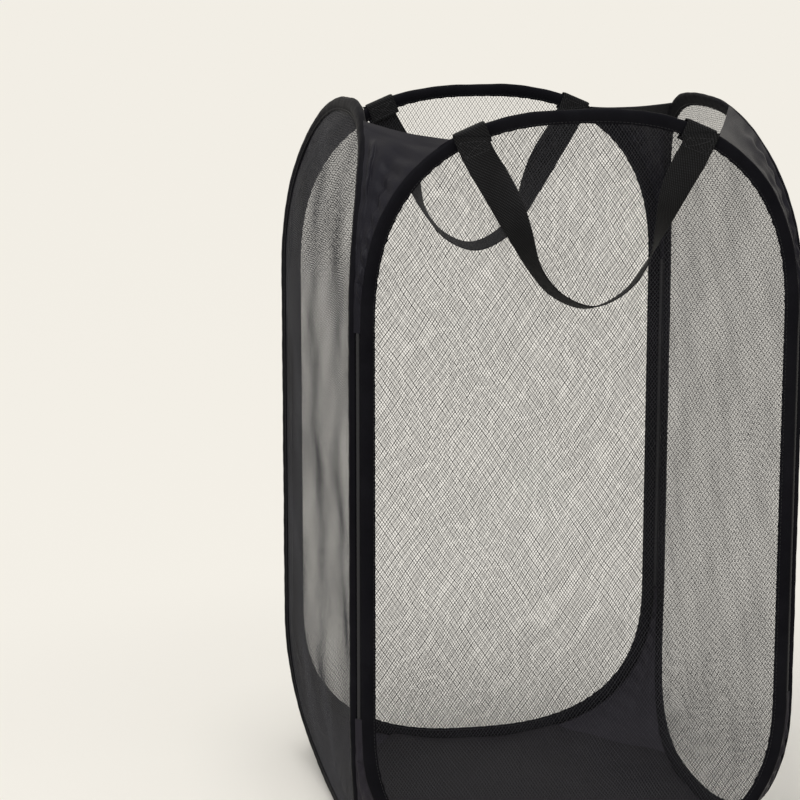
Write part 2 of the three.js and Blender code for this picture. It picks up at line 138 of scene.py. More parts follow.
class Hoop:
    """The closed outline of every hoop by length from its bottom middle, up the right side first."""

    def __init__(self):
        turns = np.linspace(0, 1, CURVE_STEPS) ** CURVE_CROWDING * QUARTER
        low_x, low_z = quarter_point(False, turns[::-1])
        high_x, high_z = quarter_point(True, turns)
        straight = np.linspace(SEAM_BOTTOM, SEAM_TOP, STRAIGHT_STEPS)[1:-1]
        x = np.concatenate([low_x, np.full(len(straight), HALF), high_x])
        z = np.concatenate([low_z, straight, high_z])
        self.x = np.concatenate([x, -x[-2::-1]])
        self.z = np.concatenate([z, z[-2::-1]])
        self.run = run_length(np.stack([self.x, self.z], -1))
        self.length = self.run[-1]

    def at(self, s):
        s = np.mod(s, self.length)
        return np.stack([np.interp(s, self.run, self.x), np.interp(s, self.run, self.z)], -1)

    def frame(self, s):
        """Points, tangents and inward normals, each as an array of (x, z)."""
        tangent = unit(self.at(s + TANGENT_STEP) - self.at(s - TANGENT_STEP))
        normal = np.stack([-tangent[..., 1], tangent[..., 0]], -1)
        return self.at(s), tangent, normal

    def length_at(self, at_top, turn, side):
        """The length along the outline of the point at a turn of a quarter, on the right or left."""
        z = quarter_point(at_top, turn)[1]
        right = self.run <= self.length / 2
        s = np.interp(z, self.z[right], self.run[right])
        return s if side > 0 else self.length - s


HOOP = Hoop()

# Each panel's quarter turn about the hamper, its reach from the middle, and its lean at top and bottom.
PANELS = {
    "front": (0, DEPTH / 2, 0, 0),
    "right": (1, WIDTH / 2, TOP_LEAN, BOTTOM_LEAN),
    "back": (2, DEPTH / 2, 0, 0),
    "left": (3, WIDTH / 2, TOP_LEAN, BOTTOM_LEAN),
}
ORDER = list(PANELS)
OUTWARD = dict(zip(PANELS, np.array([(0, -1, 0), (1, 0, 0), (0, 1, 0), (-1, 0, 0)])))


def lean(panel, z):
    _, _, top, bottom = PANELS[panel]
    above = np.clip((z - SEAM_TOP) / TOP_RISE, 0, None) ** LEAN_POWER
    below = np.clip((SEAM_BOTTOM - z) / BOTTOM_RISE, 0, None) ** LEAN_POWER
    return top * above + bottom * below


def place(panel, x, y, z):
    """Points of a panel, in the row frame."""
    quarter, reach, _, _ = PANELS[panel]
    x, y, z = np.broadcast_arrays(x, y, z)
    y = y + lean(panel, z) - reach
    turned = [(x, y), (-y, x), (-x, -y), (y, -x)][quarter]
    return np.stack([*turned, z], -1)


def along_hoop(panel, s, inset, depth):
    """Points at lengths along a panel's hoop, inset from its outline and at a depth in the panel."""
    point, _, normal = HOOP.frame(s)
    return place(panel, point[..., 0] + normal[..., 0] * inset, depth, point[..., 1] + normal[..., 1] * inset)


def waves(s, total, sizes):
    """A sum of sine waves that closes on itself over total. sizes are (wavelength, height)."""
    value = np.zeros_like(s)
    for length, height in sizes:
        count = max(1, round(total / length))
        value += height * np.sin(TAU * count * s / total + rng.uniform(0, TAU))
    return value


# Meshes.

def grid_faces(rows, columns, close_rows=False, close_columns=False, start=0):
    r = np.arange(rows if close_rows else rows - 1)
    c = np.arange(columns if close_columns else columns - 1)
    r, c = np.meshgrid(r, c, indexing="ij")
    r2, c2 = (r + 1) % rows, (c + 1) % columns
    faces = np.stack([r * columns + c, r2 * columns + c, r2 * columns + c2, r * columns + c2], -1)
    return faces.reshape(-1, 4) + start


def piece(name, points, faces, material, cloth=None, sharp=None):
    """A visible piece. cloth is each point's place on its flat cloth in millimetres, for the weave."""
    mesh = bpy.data.meshes.new(name)
    points = np.asarray(points, float).reshape(-1, 3).tolist()
    mesh.from_pydata(points, [], [list(map(int, face)) for face in faces])
    mesh.shade_smooth()
    if sharp is not None:
        mesh.set_sharp_from_angle(angle=math.radians(sharp))
    if cloth is not None:
        attribute = mesh.attributes.new("cloth", "FLOAT_VECTOR", "POINT")
        attribute.data.foreach_set("vector", np.asarray(cloth, np.float32).reshape(-1))
    mesh.materials.append(material)
    obj = bpy.data.objects.new(name, mesh)
    bpy.context.collection.objects.link(obj)
    return obj


def grid_normals(grid):
    return unit(np.cross(np.gradient(grid, axis=0), np.gradient(grid, axis=1)))


def thick_sheet(grid, thickness, normal=None):
    """A grid of points as a closed sheet: its points, and the faces of both sides and the rim."""
    rows, columns = grid.shape[:2]
    normal = grid_normals(grid) if normal is None else normal
    half = np.broadcast_to(thickness, (rows, columns))[..., None] / 2
    points = np.concatenate([(grid + normal * half).reshape(-1, 3), (grid - normal * half).reshape(-1, 3)])
    top = grid_faces(rows, columns)
    under = rows * columns
    rim = []
    for c in range(columns - 1):
        rim.append((c, c + 1, under + c + 1, under + c))
        a = (rows - 1) * columns + c
        rim.append((a + 1, a, under + a, under + a + 1))
    for r in range(rows - 1):
        a = r * columns
        rim.append((a + columns, a, under + a, under + a + columns))
        b = a + columns - 1
        rim.append((b, b + columns, under + b + columns, under + b))
    return points, np.concatenate([top, top[:, ::-1] + under, np.array(rim)])


def sheet_cloth(grid):
    """Lengths in millimetres along the rows and columns of a sheet, for its weave, on both sides."""
    down = np.linalg.norm(np.diff(grid, axis=0, prepend=grid[:1]), axis=-1).mean(1).cumsum()
    across = np.linalg.norm(np.diff(grid, axis=1, prepend=grid[:, :1]), axis=-1).cumsum(1)
    across -= across[:, -1:] / 2
    return both_sides(across / MM, down[:, None] / MM)


def cloth_place(across_mm, down_mm):
    return np.stack(np.broadcast_arrays(across_mm, down_mm, 0.0), -1)


def both_sides(across_mm, down_mm):
    return np.concatenate([cloth_place(across_mm, down_mm).reshape(-1, 3)] * 2)


BEAD = np.array([(-1, 0, 0)] + [(t, a, b) for t in (-0.6, 0.6) for a, b in ((1, 0), (0, 1), (-1, 0), (0, -1))]
                + [(1, 0, 0)])
BEAD_FACES = [(0, 2, 1), (0, 3, 2), (0, 4, 3), (0, 1, 4), (1, 2, 6, 5), (2, 3, 7, 6), (3, 4, 8, 7), (4, 1, 5, 8),
              (9, 5, 6), (9, 6, 7), (9, 7, 8), (9, 8, 5)]


def stitches(name, body, seams, length, radius):
    """Stitches: a small spindle at each centre, along its axis. seams are (centres, axes, sides)."""
    centres, axes, sides = [np.concatenate(part) for part in zip(*seams)]
    ups = np.cross(axes, sides)
    local = BEAD * (length / 2, radius, radius)
    points = (centres[:, None] + local[None, :, :1] * axes[:, None] + local[None, :, 1:2] * sides[:, None]
              + local[None, :, 2:] * ups[:, None])
    faces = [tuple(v + len(BEAD) * i for v in face) for i in range(len(centres)) for face in BEAD_FACES]
    obj = piece(name, points, faces, THREAD)
    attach(obj, body)


# Materials.

# The sockets of a colour mix node: its two colours in, and its colour out.
MIX_A, MIX_B, MIX_OUT = 6, 7, 2


def node(owner, kind, **values):
    """A node of a material or world. values are its inputs and its settings."""
    made = owner.node_tree.nodes.new(kind)
    for key, value in values.items():
        if key in made.inputs:
            made.inputs[key].default_value = value
        else:
            setattr(made, key, value)
    return made


def link(owner, a, b):
    owner.node_tree.links.new(a, b)


def shader_input(material, name):
    return material.node_tree.nodes["Principled BSDF"].inputs[name]


def new_material(name, colour, roughness, specular=0.5, metallic=0.0):
    material = bpy.data.materials.new(name)
    material.use_nodes = True
    shader_input(material, "Base Color").default_value = (*colour, 1)
    shader_input(material, "Roughness").default_value = roughness
    shader_input(material, "Specular IOR Level").default_value = specular
    shader_input(material, "Metallic").default_value = metallic
    return material


def noise(material, scale, detail, roughness=0.5):
    position = node(material, "ShaderNodeTexCoord")
    made = node(material, "ShaderNodeTexNoise", Scale=scale, Detail=detail, Roughness=roughness)
    link(material, position.outputs["Object"], made.inputs["Vector"])
    return made.outputs["Fac"]


def ranged(owner, value, low, high, start=0.0, end=1.0, interpolation="LINEAR"):
    """A value that runs from start to end, turned into one that runs from low to high."""
    made = node(owner, "ShaderNodeMapRange", interpolation_type=interpolation,
                **{"From Min": start, "From Max": end, "To Min": low, "To Max": high})
    link(owner, value, made.inputs["Value"])
    return made.outputs[0]


def emboss(material, height, strength, distance):
    bumps = node(material, "ShaderNodeBump", Strength=strength, Distance=distance)
    link(material, height, bumps.inputs["Height"])
    link(material, bumps.outputs["Normal"], shader_input(material, "Normal"))


def tint(colour, scale, lift=0.0):
    return (*[min(1, c * scale + lift) for c in colour], 1)


def two_tone(material, value, start, end, dark, pale):
    shades = node(material, "ShaderNodeValToRGB")
    low, high = shades.color_ramp.elements
    low.position, high.position = start, end
    low.color, high.color = dark, pale
    link(material, value, shades.inputs["Fac"])
    return shades.outputs["Color"]


def roughen(material, value, low, high):
    link(material, ranged(material, value, low, high), shader_input(material, "Roughness"))


def fabric(name, colour, roughness, warp_mm, weft_mm, bump=0.00002, slant=0.0, mottle=0.12, dust=0.35, grain=0.45,
           painted_glint=1.25, **shader_values):
    """Woven cloth. warp_mm and weft_mm are the spacings of its threads, and slant turns them into a twill.
    mottle and dust are how strong its patches and lint are. Its colour also carries painted light and shade of the
    weave: painted shade between the threads and a painted highlight on their crowns. grain is how strong that is,
    and the painted glint is how many times lighter the crowns are painted."""
    material = new_material(name, colour, roughness, **shader_values)
    cloth = node(material, "ShaderNodeAttribute", attribute_name="cloth")
    mapping = node(material, "ShaderNodeMapping", Rotation=(0, 0, slant))
    link(material, cloth.outputs["Vector"], mapping.inputs["Vector"])
    weave = node(material, "ShaderNodeMath", operation="MULTIPLY")
    for index, (direction, spacing) in enumerate((("X", warp_mm), ("Y", weft_mm))):
        wave = node(material, "ShaderNodeTexWave", bands_direction=direction, Scale=math.pi / 10 / spacing,
                    Distortion=0.6, Detail=1.0, **{"Detail Scale": 2.0})
        link(material, mapping.outputs["Vector"], wave.inputs["Vector"])
        link(material, wave.outputs["Fac"], weave.inputs[index])
    emboss(material, weave.outputs[0], strength=0.8, distance=bump)
    patches = noise(material, scale=38.0, detail=5.0, roughness=0.6)
    specks = noise(material, scale=900.0, detail=2.0)
    shades = two_tone(material, patches, 0.3, 0.75, tint(colour, 1 - mottle), tint(colour, 1 + mottle, 0.002))
    # Painted light and shade of the weave: the patch colour is multiplied by the weave's height, darker between
    # the threads and lighter on their crowns as a painted highlight.
    mottle_and_weave_light = node(material, "ShaderNodeMix", data_type="RGBA", blend_type="MULTIPLY", Factor=grain)
    link(material, shades, mottle_and_weave_light.inputs[MIX_A])
    link(material, ranged(material, weave.outputs[0], low=0.55, high=painted_glint), mottle_and_weave_light.inputs[MIX_B])
    # Lint specks go over the painted weave light, so this colour holds both real lint and painted light.
    lint_and_weave_light = node(material, "ShaderNodeMix", data_type="RGBA")
    lint = ranged(material, specks, low=0.0, high=dust, start=0.68, end=0.82)
    link(material, lint, lint_and_weave_light.inputs["Factor"])
    link(material, mottle_and_weave_light.outputs[MIX_OUT], lint_and_weave_light.inputs[MIX_A])
    lint_and_weave_light.inputs[MIX_B].default_value = tint(colour, 2.2, 0.003)
    link(material, lint_and_weave_light.outputs[MIX_OUT], shader_input(material, "Base Color"))
    roughen(material, patches, roughness - 0.07, min(1, roughness + 0.1))
    return material


def yarn(name, colour, roughness, **shader_values):
    material = new_material(name, colour, roughness, **shader_values)
    lay = noise(material, scale=14.0, detail=3.0)
    fibre = noise(material, scale=1600.0, detail=2.0)
    shades = two_tone(material, lay, 0.3, 0.7, tint(colour, 0.75), tint(colour, 1.35))
    link(material, shades, shader_input(material, "Base Color"))
    emboss(material, fibre, strength=0.5, distance=0.00008)
    roughen(material, fibre, low=0.42, high=0.62)
    return material


def steel(name, colour, roughness):
    material = new_material(name, colour, roughness, metallic=1.0)
    grain = noise(material, scale=420.0, detail=3.0)
    emboss(material, grain, strength=0.3, distance=0.00004)
    roughen(material, grain, roughness - 0.1, roughness + 0.12)
    return material


BINDING = fabric("binding cloth", (0.0068, 0.0066, 0.0086), 0.46, 0.42, 0.42, mottle=0.15, specular=0.014)
GUSSET = fabric("gusset cloth", (0.0106, 0.0101, 0.0145), 0.40, 0.36, 0.36, specular=0.075)
# The lower gussets are a lighter copy of the gusset cloth: painted light, for the daylight that comes through
# their thin cloth from outside.
LOW_GUSSET = fabric("lower gusset cloth", (0.0270, 0.0245, 0.0310), 0.42, 0.36, 0.36, specular=0.04)
FLOOR = fabric("floor cloth", (0.0165, 0.0152, 0.0180), 0.6, 0.6, 0.6, bump=0.00006, mottle=0.14, specular=0.05)
# The webbing's thread crowns are painted up to 5.5 times lighter at full strength: a painted highlight for the
# glints on its twill.
WEBBING = fabric("webbing", (0.0042, 0.0042, 0.0045), 0.55, 1.9, 1.2, bump=0.0003, slant=0.62, mottle=0.2,
                 dust=0.7, grain=1.0, painted_glint=5.5, specular=0.07)
LABEL = fabric("label cloth", (0.026, 0.026, 0.030), 0.35, 0.2, 0.2, mottle=0.06, dust=0.1, specular=0.5)
THREAD = fabric("thread", (0.012, 0.012, 0.0140), 0.5, 0.3, 0.3, bump=0.00003, slant=0.6, specular=0.35)
NET = yarn("net yarn", (0.015, 0.015, 0.019), 0.45, specular=0.25)
STEEL = steel("spring steel", (0.42, 0.43, 0.45), 0.34)
SPLICE = steel("splice metal", (0.5, 0.5, 0.52), 0.42)

for panel in PANELS:
    for suffix, metal in (("hoop_wire", STEEL), ("wire_splice", SPLICE)):
        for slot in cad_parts[f"{panel}_{suffix}"].material_slots:
            slot.link = "OBJECT"
            slot.material = metal


# Bindings: a folded strip round each hoop, with its wire inside and the net in its hem.

# Half of the strip's section, as inset and depth: from its lip round the outside, and back inside.
OUTSIDE_MM = [(11.0, 2.2), (10.6, 1.95), (9.6, 1.8), (8.8, 1.5), (7.6, 0.9), (6.2, 0.3), (4.6, 0.03), (3.2, 0.03),
              (1.9, 0.22), (0.95, 0.72), (0.3, 1.6), (0.06, 2.4)]
INSIDE_MM = [(1.15, 2.5), (1.3, 2.05), (2.0, 1.75), (4.2, 1.7), (6.6, 1.9), (8.2, 2.45), (9.6, 2.62), (10.8, 2.62)]
FOLD_INSET_MM = 1.1
# Waves of the strip, as wavelength and height: its edge, its fullness and its lip.
EDGE_WAVES = [(0.11, 0.00028), (0.053, 0.00018), (0.021, 0.00008)]
FULL_WAVES = [(0.085, 0.03), (0.031, 0.025), (0.0135, 0.02)]
LIP_WAVES = [(0.0128, 0.55), (0.0094, 0.45)]
LIP_OPEN = 0.00022
LIP_SHIFT = 0.00035
# The lip waves more where the hoop bends, between these curvatures.
BENDING = (2, 7)
# Insets over which the hem is pulled in, the lip opens and the edge waves.
HEM_INSETS = (0.0066, 0.0092, 0.0094, 0.0112)
LIP_INSETS = (0.0074, 0.0100)
EDGE_WAVE_END = 0.009
# Beside a seam the strip is calmer, and its far edge makes room for the neighbour.
JOINED_HEIGHTS = (SEAM_BOTTOM - 0.008, SEAM_BOTTOM + 0.004, SEAM_TOP - 0.004, SEAM_TOP + 0.008)
JOINED_CALM = 0.8
JOINED_NARROWING = 0.0005
FAR_DEPTH = MIDDLE + 0.0005
FAR_INSETS = (0.0012, 0.0024)
STITCH_PULL = 0.13
PULL_BETWEEN = -0.6
STITCH_COUNT = 540
STITCH_INSET = 0.0096
STITCH_DEPTH = 0.00165
STITCH_REACH = 0.0004
HEM_STITCH = (0.0024, 0.00024)


def band_section():
    """The strip's section in metres, outside first, and how many of its points face out."""
    outer, inner = np.array(OUTSIDE_MM) * MM, np.array(INSIDE_MM) * MM
    far_outer, far_inner = [np.stack([half[::-1, 0], BAND_THICKNESS - half[::-1, 1]], -1)
                            for half in (outer, inner)]
    fold = [[FOLD_INSET_MM * MM, MIDDLE]]
    return np.concatenate([outer, [[0, MIDDLE]], far_outer, far_inner, fold, inner]), 2 * len(outer) + 1


def make_binding(panel):
    steps = STITCH_COUNT * 2
    s = np.arange(steps) / steps * HOOP.length
    point, tangent, _ = HOOP.frame(s)
    section, outside_count = band_section()
    inset, depth = section[None, :, 0], section[None, :, 1]
    edge = waves(s, HOOP.length, EDGE_WAVES)
    fullness = waves(s, HOOP.length, FULL_WAVES)[:, None]
    lip_wave = np.clip(waves(s, HOOP.length, LIP_WAVES), -1, 1)
    bending = np.linalg.norm(np.gradient(tangent, axis=0), axis=-1) * steps / HOOP.length
    lip_wave = (lip_wave * (0.5 + 0.5 * smooth_step(bending, *BENDING)))[:, None]
    stitch = np.where(np.arange(steps) % 2 == 0, 1.0, PULL_BETWEEN)[:, None]
    outside = (np.arange(len(section)) < outside_count)[None, :]
    hem = rise_and_fall(inset, *HEM_INSETS) * outside
    lip = smooth_step(inset, *LIP_INSETS)
    spread = (depth - MIDDLE) * (1 + fullness * outside) * (1 - STITCH_PULL * stitch * hem)
    y = MIDDLE + spread + LIP_OPEN * np.abs(lip_wave) * lip * outside * np.sign(depth - MIDDLE)
    joined = rise_and_fall(point[:, 1], *JOINED_HEIGHTS)[:, None]
    edge = edge[:, None] * (1 - JOINED_CALM * joined)
    far_edge = (depth > FAR_DEPTH) * outside * (1 - smooth_step(inset, *FAR_INSETS))
    shift = inset + edge * outside * (inset < EDGE_WAVE_END)
    shift = shift - JOINED_NARROWING * joined * far_edge + LIP_SHIFT * lip_wave * lip
    points = along_hoop(panel, s[:, None], shift, y)
    cloth = cloth_place(s[:, None] / MM, run_length(section) / MM)
    faces = grid_faces(steps, len(section), True, True)
    obj = piece(f"{panel}_hoop_binding", points, faces, BINDING, cloth)
    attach(obj, f"{panel}_panel")
    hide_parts(f"{panel}_binding")


def make_hem_stitches(panel):
    s = (np.arange(STITCH_COUNT) + 0.25) / STITCH_COUNT * HOOP.length
    seams = []
    for depth in (STITCH_DEPTH, BAND_THICKNESS - STITCH_DEPTH):
        behind, centres, ahead = [along_hoop(panel, s + shift, STITCH_INSET, depth)
                                  for shift in (-STITCH_REACH, 0, STITCH_REACH)]
        inner = along_hoop(panel, s, STITCH_INSET + STITCH_REACH, depth)
        seams.append((centres, unit(ahead - behind), unit(inner - centres)))
    stitches(f"{panel}_hem_stitches", f"{panel}_panel", seams, *HEM_STITCH)


# Nets: two families of yarns, each yarn one prism, with a tape round the edge inside the binding.

NET_ANGLE = math.radians(55)
NET_SPACING = 0.0021
NET_STRAY = 0.00007
NET_PHASES = {"front": 0.0, "right": 0.31, "back": 0.47, "left": 0.18}
YARN_WIDTH = 0.00028
YARN_DEPTH = 0.00016
YARN_SHARES = (0.75, 1.25)
YARN_OFFSET = 0.00006
NET_INSET = 0.0072
NET_SEGMENTS = 32
NET_EDGE_STEPS = 1400
TAPE_STEPS = 260
TAPE_WIDTH = 0.0035
TAPE_THICKNESS = 0.00008
TAPE_OFFSET = 0.0002
# Waves of a net as height, and waves to a metre along x and z: in its depth, along x and along z.
SLACK_WAVES = [(0.0011, 2.2 / HALF / TAU, 1 / 0.215), (0.0007, 0, 1 / 0.093), (0.0006, 1 / 0.11, 9 / TAU)]
SLACK_PHASES = (0, 1.0, 0)
DRIFT_X_WAVES = [(0.0011, 6, 1 / 0.13), (0.0006, 1 / 0.062, -1 / 0.088), (0.0003, 1 / 0.07, 1 / 0.043)]
DRIFT_Z_WAVES = [(0.0011, 1 / 0.15, -1 / 0.17), (0.0006, 1 / 0.075, 1 / 0.071), (0.0003, 1 / 0.045, -1 / 0.08)]
# Where they set in: by distance from the hoop's sides, and by height.
SLACK_FADE = (0.010, 0.055), (0.012, 0.07, 0.54, 0.60)
DRIFT_FADE = (0.004, 0.04), (0.006, 0.05, 0.56, 0.606)


def net_wave(x, z, sizes, phases, fade):
    """A sum of waves over a net, fading to nothing at the binding."""
    sides, heights = fade
    wave = sum(height * np.sin(TAU * (a * x + b * z) + phase) for (height, a, b), phase in zip(sizes, phases))
    return wave * smooth_step(HALF - np.abs(x), *sides) * rise_and_fall(z, *heights)


def net_slack(x, z):
    """How far the net stands in or out of its panel's plane."""
    return net_wave(x, z, SLACK_WAVES, SLACK_PHASES, SLACK_FADE)


def net_drift(x, z, phases):
    """How far the net is pulled along its own plane."""
    return np.stack([net_wave(x, z, DRIFT_X_WAVES, phases[:3], DRIFT_FADE),
                     net_wave(x, z, DRIFT_Z_WAVES, phases[3:], DRIFT_FADE)], -1)


def make_net(panel):
    phases = rng.uniform(0, TAU, 6)
    point, _, normal = HOOP.frame(np.linspace(0, HOOP.length, NET_EDGE_STEPS, endpoint=False))
    edge = point + normal * NET_INSET
    middle = np.array([0, HEIGHT / 2])
    points, faces = [], []
    count = 0
    for sign in (1, -1):
        run = np.array([math.cos(NET_ANGLE), sign * math.sin(NET_ANGLE)])
        across = np.array([-run[1], run[0]])
        offsets = (edge - middle) @ across
        along = (edge - middle) @ run
        first = math.ceil(offsets.min() / NET_SPACING)
        lines = np.arange(first, offsets.max() / NET_SPACING) + NET_PHASES[panel]
        for number, line in enumerate(lines):
            width = YARN_WIDTH * YARN_SHARES[number % 2]
            offset = line * NET_SPACING + rng.normal(0, NET_STRAY)
            crossing = np.nonzero((offsets - offset) * (np.roll(offsets, -1) - offset) < 0)[0]
            if len(crossing) != 2:
                continue
            following = (crossing + 1) % len(offsets)
            share = (offset - offsets[crossing]) / (offsets[following] - offsets[crossing])
            start, end = np.sort(along[crossing] + share * (along[following] - along[crossing]))
            centre = middle + np.linspace(start, end, NET_SEGMENTS + 1)[:, None] * run + offset * across
            centre = centre + net_drift(centre[:, 0], centre[:, 1], phases)
            ring = []
            for u, v in ((-1, -1), (1, -1), (1, 1), (-1, 1)):
                x, z = (centre + across * (u * width / 2)).T
                depth = MIDDLE + sign * YARN_OFFSET + v * YARN_DEPTH / 2 + net_slack(x, z)
                ring.append(place(panel, x, depth, z))
            points.append(np.stack(ring, 1).reshape(-1, 3))
            faces.append(grid_faces(NET_SEGMENTS + 1, 4, close_columns=True, start=count))
            last = count + NET_SEGMENTS * 4
            faces.append([(count, count + 1, count + 2, count + 3), (last + 3, last + 2, last + 1, last)])
            count = last + 4
    tape_s = np.linspace(0, HOOP.length, TAPE_STEPS, endpoint=False)
    for side in (-1, 1):
        low = MIDDLE + side * TAPE_OFFSET - TAPE_THICKNESS / 2
        high = low + TAPE_THICKNESS
        far = NET_INSET + TAPE_WIDTH
        ring = [along_hoop(panel, tape_s, inset, depth)
                for inset, depth in ((NET_INSET, low), (far, low), (far, high), (NET_INSET, high))]
        points.append(np.stack(ring, 1).reshape(-1, 3))
        faces.append(grid_faces(TAPE_STEPS, 4, True, True, start=count))
        count += TAPE_STEPS * 4
    obj = piece(f"{panel}_mesh_net", np.concatenate(points), np.concatenate(faces), NET, sharp=30)
    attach(obj, f"{panel}_panel")
    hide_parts(f"{panel}_net")


# Gussets.

CLOTH = 0.0006
HEM = 0.0012
TURNED_HEM = 0.0085
HEM_EDGE = 0.001
SEWN_INSET = 0.0005
CORNERS = {"front_right": ("front", "right"), "rear_right": ("right", "back"), "rear_left": ("back", "left"),
           "front_left": ("left", "front")}
# The two bodies on either side of a corner's cloth, joined by one joint. The rear right corner has none.
FOLDS = {"front_left": ("front_panel", "left_panel"), "front_right": ("front_panel", "right_panel"),
         "rear_left": ("left_panel", "back_panel")}
# Where a top gusset's hem meets its two hoops, as shares of their half width.
HEM_SHARES = {"front_right": (0.605, 0.38), "rear_right": (0.50, 0.605), "rear_left": (0.605, 0.34),
              "front_left": (0.50, 0.605)}
# Where a bottom gusset meets the floor, likewise.
CREASE_SHARE = 0.45
TOP_SAG = 0.0025
BOTTOM_SAG = 0.004
TOP_GRID = (110, 97)
BOTTOM_GRID = (60, 49)
HEM_CROWDING = 0.9
SPLIT_LIMITS = (0.3, 0.7)
TOUCHING = 1e-6
# Waves of a gusset. u runs across it from its first binding, and v from its hem to the seam.
# Folds that fan out from the seam: height, waves along u and v, and where they set in along v.
FANS = [(0.0022, 1.9, 0.35, (0.0, 0.3)), (0.0011, 3.7, -0.8, (0.05, 0.4))]
# Puckers along its first and second binding: height, count, slant, place, spread and sharpness.
PUCKERS = [(0.0008, 9, 3, 0.12, 0.20, 1.0), (0.0016, 11, -5, 0.80, 0.26, 1.4)]
CROSS_WAVE, CROSS_U, CROSS_V = 0.0016, 0.5, 1.3
# How the waves come to rest at the bindings, the seam and the hem.
SIDE_POWER = 0.7
SEAM_FADE = (0.0, 0.25)
HEM_FADE = (0.0, 0.2)
HEM_REST = 0.35
LOW_HEM_FADE = (0.0, 0.12)
# A pleat in a top gusset: its place across at the hem and how it runs toward the seam.
PLEATS = {"front_left": (0.16, 0.22), "rear_right": (0.80, -0.18)}
PLEAT_HEIGHT = 0.0024
PLEAT_ACROSS = (-0.10, 0.0, 0.0, 0.045)
PLEAT_ALONG = (0.08, 0.16, 0.30, 0.46)


def hinge_of(corner):
    sides = np.array([1 if "right" in corner else -1, -1 if "front" in corner else 1])
    return sides * (WIDTH / 2 - CORNER_INSET, DEPTH / 2 - CORNER_INSET)


def edge_line(panel, side, at_top, share, rows):
    """Points along one binding from a share of the hoop's half width to the end of the seam."""
    start = HOOP.length_at(at_top, turn_at(share, at_top), side)
    end = HOOP.length_at(at_top, 0.0, side)
    s = start + (end - start) * np.linspace(0, 1, rows) ** HEM_CROWDING
    return along_hoop(panel, s, SEWN_INSET, MIDDLE)


def gusset_grid(corner, at_top, rows, columns):
    """The cloth's middle surface. Its middle column runs in the corner's diagonal plane."""
    first, second = CORNERS[corner]
    shares = HEM_SHARES[corner] if at_top else (CREASE_SHARE, CREASE_SHARE)
    a = edge_line(first, 1, at_top, shares[0], rows)
    b = edge_line(second, -1, at_top, shares[1], rows)
    off_a, off_b = [np.abs(edge[:, :2] - hinge_of(corner)) @ (1, -1) for edge in (a, b)]
    at_seam = np.abs(off_a - off_b) < TOUCHING
    split = np.where(at_seam, 0.5, off_a / np.where(at_seam, 1, off_a - off_b))
    split = np.clip(split, *SPLIT_LIMITS)[:, None]
    low = np.linspace(0, 1, columns // 2 + 1)[None, :]
    u = np.concatenate([split * low, split + (1 - split) * low[:, 1:]], axis=1)
    v = np.linspace(0, 1, rows)[:, None]
    grid = a[:, None] * (1 - u[..., None]) + b[:, None] * u[..., None]
    grid[..., 2] -= (1 - v) ** 2 * np.sin(math.pi * u) * (TOP_SAG if at_top else BOTTOM_SAG)
    return grid, u, v


def gusset_waves(corner, at_top, grid, u, v):
    """How far the cloth stands off its taut surface: soft waves, puckers along the bindings, a pleat."""
    seed = rng.uniform(0, TAU, 6)
    wide = np.linalg.norm(grid[:, -1] - grid[:, 0], axis=-1, keepdims=True)
    height = CROSS_WAVE * np.sin(TAU * (CROSS_U * u + CROSS_V * v) + seed[4]) * np.sin(math.pi * u)
    for (size, a, b, start), phase in zip(FANS, seed[:2]):
        height += size * np.sin(TAU * (a * u + b * v) + phase) * smooth_step(v, *start) * wide / wide.max()
    for (size, count, slant, place_u, spread, sharpness), phase in zip(PUCKERS, seed[2:4]):
        wave = np.sin(TAU * v * count + slant * u + phase)
        near = np.exp(-(((u - place_u) / spread) ** 2))
        height += size * np.sign(wave) * np.abs(wave) ** sharpness * near
    height *= np.sin(math.pi * u) ** SIDE_POWER * smooth_step(1 - v, *SEAM_FADE)
    height *= HEM_REST + (1 - HEM_REST) * smooth_step(v, *HEM_FADE)
    if not at_top:
        height *= smooth_step(v, *LOW_HEM_FADE)
    elif corner in PLEATS:
        place_u, tilt = PLEATS[corner]
        across = rise_and_fall(u - place_u - tilt * v, *PLEAT_ACROSS)
        height += PLEAT_HEIGHT * across * rise_and_fall(v, *PLEAT_ALONG)
    return height


def fold_weights(obj):
    """Bakes a corner's cloth's placement into its mesh."""
    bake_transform(obj)


def finish_gusset(name):
    """Hides the CAD gusset that a gusset's cloth stands for."""
    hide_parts(name)


def make_gusset(corner, at_top):
    rows, columns = TOP_GRID if at_top else BOTTOM_GRID
    grid, u, v = gusset_grid(corner, at_top, rows, columns)
    grid = grid + grid_normals(grid) * gusset_waves(corner, at_top, grid, u, v)[..., None]
    normal = grid_normals(grid)
    run = np.linalg.norm(np.diff(grid, axis=0, prepend=grid[:1]), axis=-1).cumsum(0)
    hem = 1 - smooth_step(run, TURNED_HEM, TURNED_HEM + HEM_EDGE)
    thickness = CLOTH + (HEM - CLOTH) * hem
    cloth = sheet_cloth(grid).reshape(2, rows, columns, 3)
    name = f"{corner}_{'top' if at_top else 'bottom'}_gusset"
    first, second = CORNERS[corner]
    material = GUSSET if at_top else LOW_GUSSET
    if corner in FOLDS:
        points, faces = thick_sheet(grid, thickness, normal)
        obj = piece(f"{name}_cloth", points, faces, material, cloth, sharp=50)
        fold_weights(obj)
        finish_gusset(name)
        return
    half = columns // 2
    for panel, part in ((first, slice(0, half + 1)), (second, slice(half, columns))):
        points, faces = thick_sheet(grid[:, part], thickness[:, part], normal[:, part])
        obj = piece(f"{name}_cloth_{panel}", points, faces, material, cloth[:, :, part], sharp=50)
        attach(obj, f"{panel}_panel")
        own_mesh(obj)
        finish_gusset(name)


# The cloth floor, cut in four at the diagonals so that each part folds with its own panel.

